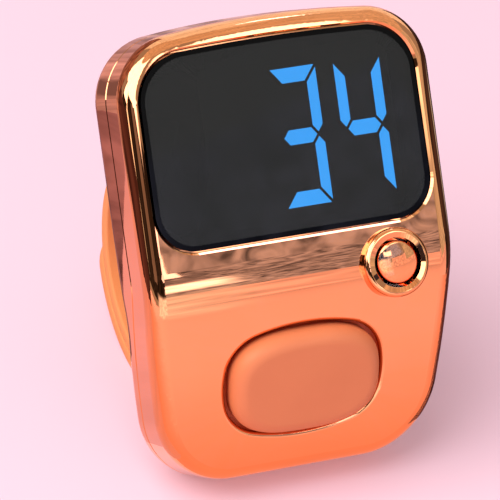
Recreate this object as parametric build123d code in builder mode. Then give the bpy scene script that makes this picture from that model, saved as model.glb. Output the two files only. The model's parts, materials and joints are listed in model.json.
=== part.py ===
from build123d import *
import os
from math import acos, atan2, cos, degrees, hypot, radians, sin, tan

# A digital tally counter worn on a finger: a plated two-part case, bent at the chin, that holds a
# three digit display, a small reset button and a large count pad, on a two-part silicone band.
# Sizes are millimetres. Pieces are drawn in the case's own axes: X to the right, Y up the display
# and Z out of it, from the middle of the window's lower edge. The planes below stand the counter
# on its heel and its band, as it rests on a table.

os.makedirs("parts", exist_ok=True)

# Case
case_width = 28.0
bottom_taper = 2.25
top_height = 18.6
bottom_drop = 20.0
top_rise = 1.2
top_corner_radius = 5.6
bottom_corner_radius = 7.0
case_depth = 8.0
lower_depth = 6.6
parting_depth = 4.0
bend_angle = 23.0
bend_drop = 3.5
bend_radius = 10.0
rear_bend_radius = 6.0
front_edge_radius = 1.5
rear_edge_share = 0.65
shell_wall = 1.1
parting_bevel = 0.12
lip_height = 0.9
lip_wall = 0.55
fit_gap = 0.05
overrun = 2.0

# Window and its adhesive frame
window_side_margin = 1.56
window_top_margin = 1.83
window_top_inset = 0.1
window_rise = 0.48
window_low_radius = 3.4
window_high_radius = 4.25
window_gap = 0.12
window_bevel = 0.2
window_recess = 0.15
window_thickness = 0.85
tape_thickness = 0.15
tape_overlap = 0.3
floor_thickness = 0.75
floor_margin = 1.0

# Display module
digit_count = 3
digit_space = 1.4
digit_left_margin = 6.04
digit_right_margin = 2.69
digit_top_margin = 2.29
digit_base = 2.1
bar_height = 1.5
bar_width = 1.15
bar_gap = 0.24
bar_depth = 0.5
module_side_margin = 0.85
module_low_margin = 1.2
module_high_margin = 1.1
module_corner_radius = 1.2
module_depth = 2.4
module_gap = 0.05
module_clearance = 0.15
pin_radius = 0.25
pin_pitch = 3.0
pin_columns = 5
pin_inset = 1.0
pin_tail = 0.2

# Boards, their parts and screws
board_thickness = 0.6
board_side_gap = 0.6
board_top_margin = 2.65
board_drop = 5.45
board_corner_radius = 3.8
chip_radius = 2.2
chip_height = 0.8
chip_side_margin = 2.4
chip_top_margin = 6.4
resistor_length = 1.6
resistor_width = 0.8
resistor_height = 0.45
resistor_pitch = 1.5
resistor_count = 3
resistor_side_margin = 5.4
resistor_top_margin = 2.8
screw_radius = 0.55
screw_length = 1.9
screw_head_radius = 1.0
screw_head_height = 0.42
post_radius = 1.15
post_gap = 0.05
high_screw_side_margin = 1.6
high_screw_top_margin = 2.8
low_screw_side_margin = 1.4
low_screw_margin = 2.25
middle_screw_x = 2.6
middle_screw_margin = 1.55

# Reset button and its switch
reset_side_margin = 5.86
reset_drop = 3.57
collar_radius = 2.95
collar_height = 0.7
collar_edge_radius = 0.42
collar_boss_depth = 1.9
reset_hole_radius = 2.12
reset_cap_radius = 1.86
reset_cap_proud = 0.75
reset_cap_edge_radius = 0.35
reset_flange_radius = 2.3
reset_flange_thickness = 0.42
reset_flange_gap = 0.12
reset_travel = 0.3
reset_switch_width = 3.6
reset_switch_length = 3.0
plunger_radius = 0.8
plunger_gap = 0.06
plunger_grip = 0.25
switch_floor = 0.15
touch_gap = 0.02
stop_gap = 0.1

# Count pad, its carrier and its switch, on the slope below the chin
pad_side_margin = 5.0
pad_high_margin = 4.8
pad_low_margin = 3.875
pad_side_bow = 1.0
pad_end_bow = 1.2
pad_corner_radius = 3.4
pad_corner_share = 0.36
pad_proud = 1.5
pad_root = 0.7
pad_edge_radius = 1.05
well_gap = 0.4
well_edge_radius = 0.4
carrier_inset = 0.3
carrier_flange = 0.45
carrier_thickness = 0.5
carrier_boss_radius = 1.5
carrier_boss_length = 0.45
count_travel = 0.5
count_switch_size = 4.5
count_switch_height = 1.2
count_plunger_radius = 1.1
key_board_side_margin = 0.95
key_board_high = 4.3
key_board_low_margin = 3.358
key_board_corner_radius = 3.5
key_corner_share = 0.45
key_post_margin = 1.2
ribbon_width = 5.0
ribbon_thickness = 0.2
ribbon_tab = 1.6
ribbon_start_drop = 2.4
ribbon_bend_radius = 0.6
ribbon_x = -3.5

# Coin cell, the largest that fits under the band's slot, with its contacts and its door
cell_low_drop = 2.25
cell_anchor_gap = 2.95
cell_door_gap = 0.65
cell_bevel = 0.2
contact_thickness = 0.15
contact_lift = 0.35
contact_width = 3.0
contact_span = 6.4
clip_length = 1.7
clip_short = 0.3
clip_gap = 0.05
bay_gap = 0.1
bay_wall = 0.7
bay_board_gap = 0.25
bay_floor = 1.0
bay_margin = 0.6
door_side_margin = 1.65
door_end_margin = 0.75
door_corner_radius = 2.0
door_thickness = 0.8
door_gap = 0.1
door_ring_inset = 1.25
door_ring_wall = 0.8
door_screw_gap = 1.25
door_screw_inset = 2.0
door_boss_radius = 1.4

# Silicone band
finger_radius = 8.5
finger_gap = 1.0
loop_drop = 2.0
strap_side_margin = 3.75
strap_thickness = 1.2
strap_layer_gap = 0.05
strap_slot_gap = 0.12
strap_tip_radius = 3.5
upper_anchor_margin = 5.4
lower_anchor_margin = 6.5
anchor_bar_height = 3.2
anchor_bar_thickness = 0.7
inner_tip_angle = 75.0
outer_tip_angle = 20.0
peg_radius = 0.9
peg_head_radius = 1.4
peg_head_height = 0.6
peg_hole_gap = 0.08
peg_angle = 6.0
peg_step_angle = 20.0
peg_count = 2
strap_hole_count = 5

# Derived sizes of the display, from the case round it
bend = radians(bend_angle)
half_width = case_width / 2
bottom_width = case_width - 2 * bottom_taper
window_width = case_width - 2 * window_side_margin
window_top_width = window_width - 2 * window_top_inset
window_height = top_height - window_top_margin - window_rise
digits_width = window_width - digit_left_margin - digit_right_margin
digit_width = (digits_width - (digit_count - 1) * digit_space) / digit_count
digit_height = window_height - digit_base - digit_top_margin
digit_pitch = digit_width + digit_space
digit_right = window_width / 2 - digit_right_margin
board_width = case_width - 2 * (shell_wall + fit_gap + lip_wall + board_side_gap)
board_top = top_height - board_top_margin
board_left = -board_width / 2
chip_place = (board_left + chip_side_margin, board_top - chip_top_margin)
resistor_place = (board_left + resistor_side_margin, board_top - resistor_top_margin)
board_screw_places = [
    (board_left + high_screw_side_margin, board_top - high_screw_top_margin),
    (board_left + low_screw_side_margin, -board_drop + low_screw_margin),
    (middle_screw_x, -board_drop + middle_screw_margin),
]
reset_place = (half_width - reset_side_margin, -reset_drop)

# Derived levels behind the display's front face
window_floor_depth = window_recess + window_thickness + tape_thickness
floor_back_depth = window_floor_depth + floor_thickness
module_face_depth = window_floor_depth + module_gap
board_front_depth = module_face_depth + module_depth
board_back_depth = board_front_depth + board_thickness
door_face_depth = case_depth - door_thickness
cell_front_depth = board_back_depth + contact_lift
cell_back_depth = door_face_depth - cell_door_gap
cell_thickness = cell_back_depth - cell_front_depth
rear_edge_radius = rear_edge_share * (lower_depth - parting_depth)
module_left = digit_right - digit_width - (digit_count - 1) * digit_pitch - module_side_margin
module_right = digit_right + module_side_margin
module_width = module_right - module_left
module_height = digit_height + module_low_margin + module_high_margin
module_centre = ((module_left + module_right) / 2, digit_base - module_low_margin + module_height / 2)

# Derived sizes of the pad and its board, from the slope that carries them
slope_length = (bottom_drop - bend_drop) / cos(bend)
pad_width = bottom_width - 2 * pad_side_margin
pad_length = slope_length - pad_high_margin - pad_low_margin
pad_centre_drop = pad_high_margin + pad_length / 2
pad_corner = min(pad_corner_radius, pad_corner_share * min(pad_width, pad_length))
key_board_width = bottom_width - 2 * key_board_side_margin
key_board_length = slope_length - key_board_high - key_board_low_margin
key_board_corner = min(key_board_corner_radius, key_corner_share * key_board_length)
key_post_spread = key_board_width - 2 * key_post_margin

# Derived levels behind the slope's front face
carrier_face_depth = shell_wall + fit_gap
carrier_back_depth = carrier_face_depth + carrier_thickness
carrier_tip_depth = carrier_back_depth + carrier_boss_length
count_plunger_depth = carrier_tip_depth + touch_gap
count_switch_depth = count_plunger_depth + count_travel + stop_gap
key_board_front_depth = count_switch_depth + count_switch_height
key_board_back_depth = key_board_front_depth + board_thickness

# Derived coin cell and door, between the chin and the band's slot
upper_anchor_rise = top_height - upper_anchor_margin
lower_anchor_drop = bottom_drop - lower_anchor_margin
cell_radius = (upper_anchor_rise - cell_anchor_gap + cell_low_drop) / 2
cell_rise = cell_radius - cell_low_drop
clip_reach = cell_thickness - clip_short
door_ring_radius = cell_radius - door_ring_inset
door_screw_reach = cell_radius + bay_gap + bay_wall + door_screw_gap
door_left = -cell_radius - door_side_margin
door_right = door_screw_reach + door_screw_inset
door_width = door_right - door_left
door_shift = (door_left + door_right) / 2
door_height = 2 * (cell_radius + door_end_margin)

# Derived band circle, with its layers
strap_width = bottom_width - 2 * strap_side_margin
loop_y = -loop_drop
loop_z = -(case_depth + finger_gap + finger_radius)
inner_middle_radius = finger_radius + strap_thickness / 2
outer_inner_radius = finger_radius + strap_thickness + strap_layer_gap
outer_middle_radius = outer_inner_radius + strap_thickness / 2
loop_radius = outer_inner_radius + strap_thickness


def front_corner(depth):
    """Side view corner (Y, Z) of the line that runs `depth` behind the front face."""
    return (-bend_drop + depth * tan(bend / 2), -depth)


def slope_z(depth, y):
    """Z of the slope's part of that line at height `y`."""
    return -depth + (y - front_corner(depth)[0]) * tan(bend)


def front_path(depth):
    """Side view of the line that runs `depth` behind the front face, past both ends of the case."""
    low = -bottom_drop - overrun
    return [(top_height + overrun, -depth), front_corner(depth), (low, slope_z(depth, low))]


def rear_path(inset):
    """Side view of the rear face, moved `inset` into the case."""
    depth = lower_depth - inset
    low = -bottom_drop - overrun
    corner_y = front_corner(depth)[0] - (case_depth - lower_depth) / tan(bend)
    upper_z = -(case_depth - inset)
    return [(top_height + overrun, upper_z), (corner_y, upper_z), (low, slope_z(depth, low))]


# Rest pose: the heel's round edge and the band's outer circle stand on one level line.
heel_y = -bottom_drop + rear_edge_radius
heel_z = slope_z(lower_depth, heel_y) + rear_edge_radius / cos(bend)
step_y = loop_y - heel_y
step_z = heel_z - loop_z
lean = acos((loop_radius - rear_edge_radius) / hypot(step_y, step_z)) - atan2(step_z, step_y)
rise = -(heel_y * cos(lean) + heel_z * sin(lean) - rear_edge_radius)
toe_y = -bottom_drop + front_edge_radius
toe_z = slope_z(0, toe_y) - front_edge_radius / cos(bend)
toe_reach = -toe_y * sin(lean) + toe_z * cos(lean) + front_edge_radius
tip_reach = loop_radius * cos(lean - radians(outer_tip_angle))
back_reach = -loop_y * sin(lean) + loop_z * cos(lean) - tip_reach
pad_end_drop = pad_high_margin + pad_length - pad_edge_radius
pad_end_level = pad_proud - pad_edge_radius
pad_end_y = -bend_drop - pad_end_drop * cos(bend) - pad_end_level * sin(bend)
pad_end_z = -pad_end_drop * sin(bend) + pad_end_level * cos(bend)
pad_reach = -pad_end_y * sin(lean) + pad_end_z * cos(lean) + pad_edge_radius
display_origin = (0, (max(toe_reach, pad_reach) + back_reach) / 2, rise)

display = Plane(origin=display_origin, x_dir=(1, 0, 0), z_dir=(0, -cos(lean), sin(lean)))
side = Plane(origin=display_origin, x_dir=display.y_dir, z_dir=display.x_dir)
slope = Plane(
    origin=display.from_local_coords((0, -bend_drop, 0)),
    x_dir=display.x_dir,
    z_dir=display.z_dir * cos(bend) - display.y_dir * sin(bend),
)


def case_outline(inset):
    """Front outline of the case, drawn in by `inset`."""
    shoulder = top_height - top_rise
    half_bottom = bottom_width / 2
    with BuildSketch() as outline:
        with BuildLine():
            ThreePointArc((-half_width, shoulder), (0, top_height), (half_width, shoulder))
            Line((half_width, shoulder), (half_width, 0))
            TangentArc((half_width, 0), (half_bottom, -bottom_drop), tangent=(0, -1))
            Line((half_bottom, -bottom_drop), (-half_bottom, -bottom_drop))
            TangentArc((-half_width, 0), (-half_bottom, -bottom_drop), tangent=(0, -1))
            Line((-half_width, 0), (-half_width, shoulder))
        make_face()
        levels = outline.vertices().group_by(Axis.Y)
        fillet(levels[-1], top_corner_radius)
        fillet(outline.vertices().group_by(Axis.Y)[0], bottom_corner_radius)
        if inset:
            offset(amount=-inset)
    return outline.sketch


def side_band(near, near_radius, far, far_radius):
    """Side view of the case between two bent lines."""
    with BuildSketch() as band:
        with BuildLine():
            FilletPolyline(*near, radius=near_radius)
            FilletPolyline(*far, radius=far_radius)
            Line(near[0], far[0])
            Line(near[-1], far[-1])
        make_face()
    return band.sketch


def front_band(near, far):
    """Side view of the case between two depths behind the front face."""
    return side_band(front_path(near), bend_radius - near, front_path(far), bend_radius - far)


def rear_band(near, inset):
    """Side view of the case from a depth behind the front face to the rear face."""
    return side_band(front_path(near), bend_radius - near, rear_path(inset), rear_bend_radius + inset)


def case_block(band, inset):
    """Solid with the case's front outline, drawn in by `inset`, and the given side view."""
    with BuildPart() as block:
        with BuildSketch(side):
            add(band)
        extrude(amount=case_width, both=True)
        with BuildSketch(display.offset(overrun)):
            add(case_outline(inset))
        extrude(amount=-(case_width + bottom_drop), mode=Mode.INTERSECT)
    return block.part


def rim_edges(shape, facing):
    """Edges between the faces that look along `facing` and the walls of the case."""
    level_share = 0.5
    ends = shape.faces().filter_by(lambda face: face.normal_at().dot(facing) > level_share)
    walls = shape.faces().filter_by(lambda face: abs(face.normal_at().dot(facing)) < level_share)
    return ends.edges() & walls.edges()


def window_outline(growth):
    """Outline of the window, grown by `growth`."""
    half_low = window_width / 2
    half_high = window_top_width / 2
    with BuildSketch() as outline:
        with BuildLine():
            ThreePointArc(
                (-half_high, window_height),
                (0, window_height + window_rise),
                (half_high, window_height),
            )
            Line((half_high, window_height), (half_low, 0))
            Line((half_low, 0), (-half_low, 0))
            Line((-half_low, 0), (-half_high, window_height))
        make_face()
        fillet(outline.vertices().group_by(Axis.Y)[-1], window_high_radius)
        fillet(outline.vertices().group_by(Axis.Y)[0], window_low_radius)
        if growth:
            offset(amount=growth)
    return outline.sketch


def module_outline(growth):
    """Outline of the display module, grown by `growth`."""
    with BuildSketch() as outline:
        with Locations(module_centre):
            RectangleRounded(
                module_width + 2 * growth, module_height + 2 * growth, module_corner_radius + growth
            )
    return outline.sketch


def pad_outline(growth):
    """Outline of the count pad, four bowed sides with round corners, grown by `growth`."""
    side_x = pad_width / 2 + growth
    end_y = pad_length / 2 + growth
    corner_x = side_x - pad_side_bow
    corner_y = end_y - pad_end_bow
    with BuildSketch() as outline:
        with BuildLine():
            ThreePointArc((-corner_x, corner_y), (0, end_y), (corner_x, corner_y))
            ThreePointArc((corner_x, corner_y), (side_x, 0), (corner_x, -corner_y))
            ThreePointArc((corner_x, -corner_y), (0, -end_y), (-corner_x, -corner_y))
            ThreePointArc((-corner_x, -corner_y), (-side_x, 0), (-corner_x, corner_y))
        make_face()
        fillet(outline.vertices(), pad_corner + growth)
    return outline.sketch


# Front shell: the bent front half of the case, with a pocket for the window, a floor behind it,
# posts for both boards, the raised reset collar and the well of the count pad.
with BuildPart() as front_fittings:
    with BuildSketch(display.offset(-floor_back_depth)):
        add(window_outline(floor_margin))
    extrude(amount=floor_back_depth)
    with BuildSketch(display.offset(-board_front_depth)):
        with Locations(*board_screw_places):
            Circle(post_radius)
    extrude(amount=board_front_depth)
    with BuildSketch(slope.offset(-key_board_front_depth)):
        with Locations((0, -pad_centre_drop)):
            with GridLocations(key_post_spread, 0, 2, 1):
                Circle(post_radius)
    extrude(amount=key_board_front_depth)
    add(case_block(front_band(shell_wall / 2, parting_depth), shell_wall / 2), mode=Mode.INTERSECT)

with BuildPart() as front_shell:
    add(case_block(front_band(0, parting_depth), 0))
    fillet(rim_edges(front_shell.part, display.z_dir), front_edge_radius)
    chamfer(rim_edges(front_shell.part, -display.z_dir), parting_bevel)
    add(case_block(front_band(shell_wall, parting_depth + overrun), shell_wall), mode=Mode.SUBTRACT)
    add(front_fittings.part)
    with BuildSketch(display.offset(-window_floor_depth)):
        add(window_outline(window_gap))
    extrude(amount=window_floor_depth + overrun, mode=Mode.SUBTRACT)
    with BuildSketch(display):
        add(window_outline(window_gap + window_bevel))
    extrude(amount=-window_bevel, taper=45, mode=Mode.SUBTRACT)
    with BuildSketch(display):
        add(module_outline(module_clearance))
    extrude(amount=-parting_depth, mode=Mode.SUBTRACT)
    with BuildSketch(display.offset(-collar_boss_depth)):
        with Locations(reset_place):
            Circle(collar_radius)
    extrude(amount=collar_boss_depth + collar_height)
    collar_top = display.offset(collar_height)
    collar_axis = Axis(collar_top.origin, collar_top.z_dir)
    fillet(front_shell.edges().filter_by_position(collar_axis, -fit_gap, fit_gap), collar_edge_radius)
    with BuildSketch(display.offset(collar_height)):
        with Locations(reset_place):
            Circle(reset_hole_radius)
    extrude(amount=-(collar_height + collar_boss_depth), mode=Mode.SUBTRACT)
    with BuildSketch(display.offset(-collar_boss_depth)):
        with Locations(reset_place):
            Circle(reset_flange_radius + reset_flange_gap)
    extrude(amount=-parting_depth, mode=Mode.SUBTRACT)
    with BuildSketch(slope.offset(overrun)):
        with Locations((0, -pad_centre_drop)):
            add(pad_outline(well_gap))
    extrude(amount=-(overrun + carrier_face_depth), mode=Mode.SUBTRACT)
    slope_face = front_shell.faces().filter_by(slope).sort_by(Axis(slope.origin, slope.z_dir))[-1]
    well_centre = slope.from_local_coords((0, -pad_centre_drop, 0))
    fillet(slope_face.wires().sort_by_distance(well_centre)[0].edges(), well_edge_radius)
    with BuildSketch(display.offset(-board_front_depth)):
        with Locations(*board_screw_places):
            Circle(screw_radius + post_gap)
    extrude(amount=screw_length - board_thickness + post_gap, mode=Mode.SUBTRACT)
    with BuildSketch(slope.offset(-key_board_front_depth)):
        with Locations((0, -pad_centre_drop)):
            with GridLocations(key_post_spread, 0, 2, 1):
                Circle(screw_radius + post_gap)
    extrude(amount=screw_length - board_thickness + post_gap, mode=Mode.SUBTRACT)
front_shell.part.label = "front_shell"
export_step(front_shell.part, "parts/front_shell.step")


def strap_line(anchor, radius, tip_angle, below):
    """Middle line of a strap half: inside the case, out through its slot and round the finger."""
    reach = (anchor[0] - loop_y, anchor[1] - loop_z)
    turn = degrees(acos(radius / hypot(*reach)))
    meet = degrees(atan2(reach[1], reach[0])) + (turn if below else -turn)
    meet_point = (loop_y + radius * cos(radians(meet)), loop_z + radius * sin(radians(meet)))
    leg = (anchor[0] - meet_point[0], anchor[1] - meet_point[1])
    inside_share = 1 + shell_wall / hypot(*leg)
    start = (meet_point[0] + leg[0] * inside_share, meet_point[1] + leg[1] * inside_share)
    end = (tip_angle - meet) % 360 if below else -((meet - tip_angle) % 360)
    with BuildLine() as line:
        Line(start, meet_point)
        CenterArc((loop_y, loop_z), radius, meet, end)
    return line.line


def strap_band(line, growth):
    """Side view of a strap half, thickened by `growth` on each face."""
    with BuildSketch() as band:
        trace(line, line_width=strap_thickness + 2 * growth)
    return band.sketch


def loop_plane(angle, radius):
    """Plane that touches the band circle at `angle` above its rear point, facing outwards."""
    turn = radians(angle) - radians(90)
    place = (0, loop_y + radius * cos(turn), loop_z + radius * sin(turn))
    outwards = display.y_dir * cos(turn) + display.z_dir * sin(turn)
    return Plane(origin=display.from_local_coords(place), x_dir=display.x_dir, z_dir=outwards)


upper_anchor = (upper_anchor_rise, -case_depth)
lower_anchor = (-lower_anchor_drop, slope_z(lower_depth, -lower_anchor_drop))
upper_line = strap_line(upper_anchor, inner_middle_radius, -90 - inner_tip_angle, False)
lower_line = strap_line(lower_anchor, outer_middle_radius, -90 + outer_tip_angle, True)
lower_anchor_place = -(lower_anchor_drop - bend_drop) / cos(bend) - lower_depth * tan(bend)

# Rear shell: the rear half of the case, with a lip that snaps into the front shell, a round bay
# for the coin cell, a recess for its door and two slots for the band.
with BuildPart() as rear_lip:
    add(case_block(front_band(parting_depth - lip_height, parting_depth + lip_wall), shell_wall + fit_gap))
    add(case_block(front_band(parting_depth, parting_depth + lip_wall), shell_wall / 2))
    add(
        case_block(
            front_band(parting_depth - lip_height - overrun, parting_depth + overrun),
            shell_wall + fit_gap + lip_wall,
        ),
        mode=Mode.SUBTRACT,
    )

with BuildPart() as rear_shell:
    add(case_block(rear_band(parting_depth, 0), 0))
    fillet(rim_edges(rear_shell.part, -display.z_dir), rear_edge_radius)
    chamfer(rim_edges(rear_shell.part, display.z_dir), parting_bevel)
    add(case_block(rear_band(parting_depth - overrun, shell_wall), shell_wall), mode=Mode.SUBTRACT)
    add(rear_lip.part)
    with BuildSketch(display.offset(-door_face_depth)):
        with Locations((door_shift, cell_rise)):
            RectangleRounded(
                door_width + 2 * bay_margin, door_height + 2 * bay_margin, door_corner_radius + bay_margin
            )
    extrude(amount=bay_floor)
    with BuildSketch(display.offset(-door_face_depth)):
        with Locations((0, cell_rise)):
            Circle(cell_radius + bay_gap + bay_wall)
        with Locations((door_screw_reach, cell_rise)):
            Circle(door_boss_radius)
    extrude(amount=door_face_depth - board_back_depth - bay_board_gap)
    with BuildSketch(display.offset(-case_depth)):
        with Locations((door_shift, cell_rise)):
            RectangleRounded(
                door_width + 2 * door_gap, door_height + 2 * door_gap, door_corner_radius + door_gap
            )
    extrude(amount=door_thickness, mode=Mode.SUBTRACT)
    with BuildSketch(display.offset(-case_depth)):
        with Locations((0, cell_rise)):
            Circle(cell_radius + bay_gap)
        with Locations((-cell_radius, cell_rise)):
            Rectangle(2 * (bay_wall + clip_gap), contact_width + 2 * bay_gap)
    extrude(amount=case_depth - board_back_depth, mode=Mode.SUBTRACT)
    with BuildSketch(display.offset(-door_face_depth)):
        with Locations((door_screw_reach, cell_rise)):
            Circle(screw_radius + post_gap)
    extrude(amount=screw_length - door_thickness / 2 + post_gap, mode=Mode.SUBTRACT)
    with BuildSketch(side):
        add(strap_band(upper_line, strap_slot_gap))
        add(strap_band(lower_line, strap_slot_gap))
    extrude(amount=strap_width / 2 + strap_slot_gap, both=True, mode=Mode.SUBTRACT)
rear_shell.part.label = "rear_shell"
export_step(rear_shell.part, "parts/rear_shell.step")

# Window: a flat smoked lens in the front shell's pocket.
with BuildPart() as display_window:
    with BuildSketch(display.offset(-window_recess)):
        add(window_outline(0))
    extrude(amount=-window_thickness)
display_window.part.label = "display_window"
export_step(display_window.part, "parts/display_window.step")

# Adhesive frame between the window and the floor of its pocket.
with BuildPart() as window_tape:
    with BuildSketch(display.offset(-window_floor_depth)):
        add(window_outline(0))
        add(module_outline(-tape_overlap), mode=Mode.SUBTRACT)
    extrude(amount=tape_thickness)
window_tape.part.label = "window_tape"
export_step(window_tape.part, "parts/window_tape.step")

# Seven bars of one digit, as corner lists from its lower left corner. Bars meet on mitre lines and
# are then drawn in by half the gap between them.
mid_height = digit_height / 2
half_bar = bar_height / 2
right_edge = digit_width
inner_right = digit_width - bar_width
middle_right = digit_width - bar_width / 2
top_bar = [(0, digit_height), (right_edge, digit_height)]
top_bar += [(inner_right, digit_height - bar_height), (bar_width, digit_height - bar_height)]
middle_bar = [(bar_width / 2, mid_height), (bar_width, mid_height + half_bar)]
middle_bar += [(inner_right, mid_height + half_bar), (middle_right, mid_height)]
middle_bar += [(inner_right, mid_height - half_bar), (bar_width, mid_height - half_bar)]
upper_right = [(right_edge, digit_height), (right_edge, mid_height + half_bar), (middle_right, mid_height)]
upper_right += [(inner_right, mid_height + half_bar), (inner_right, digit_height - bar_height)]


def turned_over(points):
    """Bar mirrored top to bottom."""
    return [(x, digit_height - y) for x, y in points]


def turned_round(points):
    """Bar mirrored left to right."""
    return [(digit_width - x, y) for x, y in points]


bars = {
    "top": top_bar,
    "upper_right": upper_right,
    "lower_right": turned_over(upper_right),
    "bottom": turned_over(top_bar),
    "lower_left": turned_round(turned_over(upper_right)),
    "upper_left": turned_round(upper_right),
    "middle": middle_bar,
}
three_bars = ["top", "upper_right", "middle", "lower_right", "bottom"]
four_bars = ["upper_left", "upper_right", "middle", "lower_right"]
shown = [four_bars, three_bars, []]


def bar_sketch(lit):
    """All lit or all unlit bars of the display, the right digit first."""
    with BuildSketch() as sketch:
        for place, names in enumerate(shown):
            left = digit_right - digit_width - place * digit_pitch
            for name, points in bars.items():
                if (name in names) == lit:
                    with BuildLine():
                        Polyline(*[(left + x, digit_base + y) for x, y in points], close=True)
                    bar = make_face(mode=Mode.PRIVATE)
                    offset(bar, amount=-bar_gap / 2, kind=Kind.INTERSECTION, mode=Mode.ADD)
    return sketch.sketch


# Display module: the housing with a pocket for each bar, the bars and the pins.
with BuildPart() as led_module:
    with BuildSketch(display.offset(-module_face_depth)):
        add(module_outline(0))
    extrude(amount=-module_depth)
    with BuildSketch(display.offset(-module_face_depth)):
        add(bar_sketch(True))
        add(bar_sketch(False))
    extrude(amount=-bar_depth, mode=Mode.SUBTRACT)
led_module.part.label = "led_module"
export_step(led_module.part, "parts/led_module.step")

with BuildPart() as lit_segments:
    with BuildSketch(display.offset(-module_face_depth)):
        add(bar_sketch(True))
    extrude(amount=-bar_depth)
lit_segments.part.label = "lit_segments"
export_step(lit_segments.part, "parts/lit_segments.step")

with BuildPart() as unlit_segments:
    with BuildSketch(display.offset(-module_face_depth)):
        add(bar_sketch(False))
    extrude(amount=-bar_depth)
unlit_segments.part.label = "unlit_segments"
export_step(unlit_segments.part, "parts/unlit_segments.step")

pin_rows_apart = module_height - 2 * pin_inset
with BuildPart() as led_pins:
    with BuildSketch(display.offset(-board_front_depth)):
        with Locations(module_centre):
            with GridLocations(pin_pitch, pin_rows_apart, pin_columns, 2):
                Circle(pin_radius)
    extrude(amount=-(board_thickness + pin_tail))
led_pins.part.label = "led_pins"
export_step(led_pins.part, "parts/led_pins.step")

# Main board: carries the module and the reset switch in front, the chip and contacts behind.
with BuildPart() as main_board:
    with BuildSketch(display.offset(-board_front_depth)):
        with Locations((0, (board_top - board_drop) / 2)):
            RectangleRounded(board_width, board_top + board_drop, board_corner_radius)
        with Locations(*board_screw_places):
            Circle(screw_radius + post_gap, mode=Mode.SUBTRACT)
        with Locations(module_centre):
            with GridLocations(pin_pitch, pin_rows_apart, pin_columns, 2):
                Circle(pin_radius + fit_gap, mode=Mode.SUBTRACT)
    extrude(amount=-board_thickness)
main_board.part.label = "main_board"
export_step(main_board.part, "parts/main_board.step")

# Controller: a chip on the board under a dome of black resin.
chip_ball_radius = (chip_radius**2 + chip_height**2) / (2 * chip_height)
chip_plane = Plane(
    origin=display.from_local_coords((chip_place[0], chip_place[1], -board_back_depth)),
    x_dir=display.x_dir,
    z_dir=display.y_dir,
)
with BuildPart() as controller_chip:
    with BuildSketch(chip_plane):
        with BuildLine():
            RadiusArc((chip_radius, 0), (0, chip_height), -chip_ball_radius)
            Line((0, chip_height), (0, 0))
            Line((0, 0), (chip_radius, 0))
        make_face()
    revolve(axis=Axis(chip_plane.origin, display.z_dir))
controller_chip.part.label = "controller_chip"
export_step(controller_chip.part, "parts/controller_chip.step")

with BuildPart() as chip_resistors:
    with BuildSketch(display.offset(-board_back_depth)):
        with Locations(resistor_place):
            with GridLocations(0, resistor_pitch, 1, resistor_count):
                Rectangle(resistor_length, resistor_width)
    extrude(amount=-resistor_height)
chip_resistors.part.label = "chip_resistors"
export_step(chip_resistors.part, "parts/chip_resistors.step")


def screws(plane, places):
    """Pan head screws whose heads sit behind `plane` and whose shanks run forward from it."""
    with BuildPart() as group:
        with BuildSketch(plane):
            with Locations(*places):
                Circle(screw_head_radius)
        extrude(amount=-screw_head_height)
        with BuildSketch(plane):
            with Locations(*places):
                Circle(screw_radius)
        extrude(amount=screw_length)
    return group.part


with BuildPart() as board_screws:
    add(screws(display.offset(-board_back_depth), board_screw_places))
board_screws.part.label = "board_screws"
export_step(board_screws.part, "parts/board_screws.step")

# Reset button: a round cap whose flange is held under the collar, over a low switch.
reset_flange_depth = collar_boss_depth + fit_gap
reset_tip_depth = reset_flange_depth + reset_flange_thickness
reset_plunger_depth = reset_tip_depth + touch_gap
reset_switch_depth = reset_plunger_depth + reset_travel + stop_gap
reset_switch_height = board_front_depth - reset_switch_depth
with BuildPart() as reset_button:
    with BuildSketch(display.offset(-reset_tip_depth)):
        with Locations(reset_place):
            Circle(reset_flange_radius)
    extrude(amount=reset_flange_thickness)
    with BuildSketch(display.offset(-reset_flange_depth)):
        with Locations(reset_place):
            Circle(reset_cap_radius)
    extrude(amount=reset_flange_depth + reset_cap_proud)
    cap_top = reset_button.faces().filter_by(display).sort_by(Axis(display.origin, display.z_dir))[-1]
    fillet(cap_top.edges(), reset_cap_edge_radius)
reset_button.part.label = "reset_button"
export_step(reset_button.part, "parts/reset_button.step")

with BuildPart() as reset_switch:
    with BuildSketch(display.offset(-board_front_depth)):
        with Locations(reset_place):
            Rectangle(reset_switch_width, reset_switch_length)
    extrude(amount=reset_switch_height)
    with BuildSketch(display.offset(-board_front_depth + switch_floor)):
        with Locations(reset_place):
            Circle(plunger_radius + plunger_gap)
    extrude(amount=reset_switch_height, mode=Mode.SUBTRACT)
reset_switch.part.label = "reset_switch"
export_step(reset_switch.part, "parts/reset_switch.step")

with BuildPart() as reset_plunger:
    with BuildSketch(display.offset(-reset_plunger_depth)):
        with Locations(reset_place):
            Circle(plunger_radius)
    extrude(amount=-(reset_switch_depth - reset_plunger_depth + plunger_grip))
reset_plunger.part.label = "reset_plunger"
export_step(reset_plunger.part, "parts/reset_plunger.step")

# Count pad: soft silicone on a rigid carrier, whose flange is held under the well's rim.
pad_place = (0, -pad_centre_drop)
with BuildPart() as count_pad:
    with BuildSketch(slope.offset(-pad_root)):
        with Locations(pad_place):
            add(pad_outline(0))
    extrude(amount=pad_root + pad_proud)
    pad_top = count_pad.faces().filter_by(slope).sort_by(Axis(slope.origin, slope.z_dir))[-1]
    fillet(pad_top.edges(), pad_edge_radius)
count_pad.part.label = "count_pad"
export_step(count_pad.part, "parts/count_pad.step")

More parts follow.
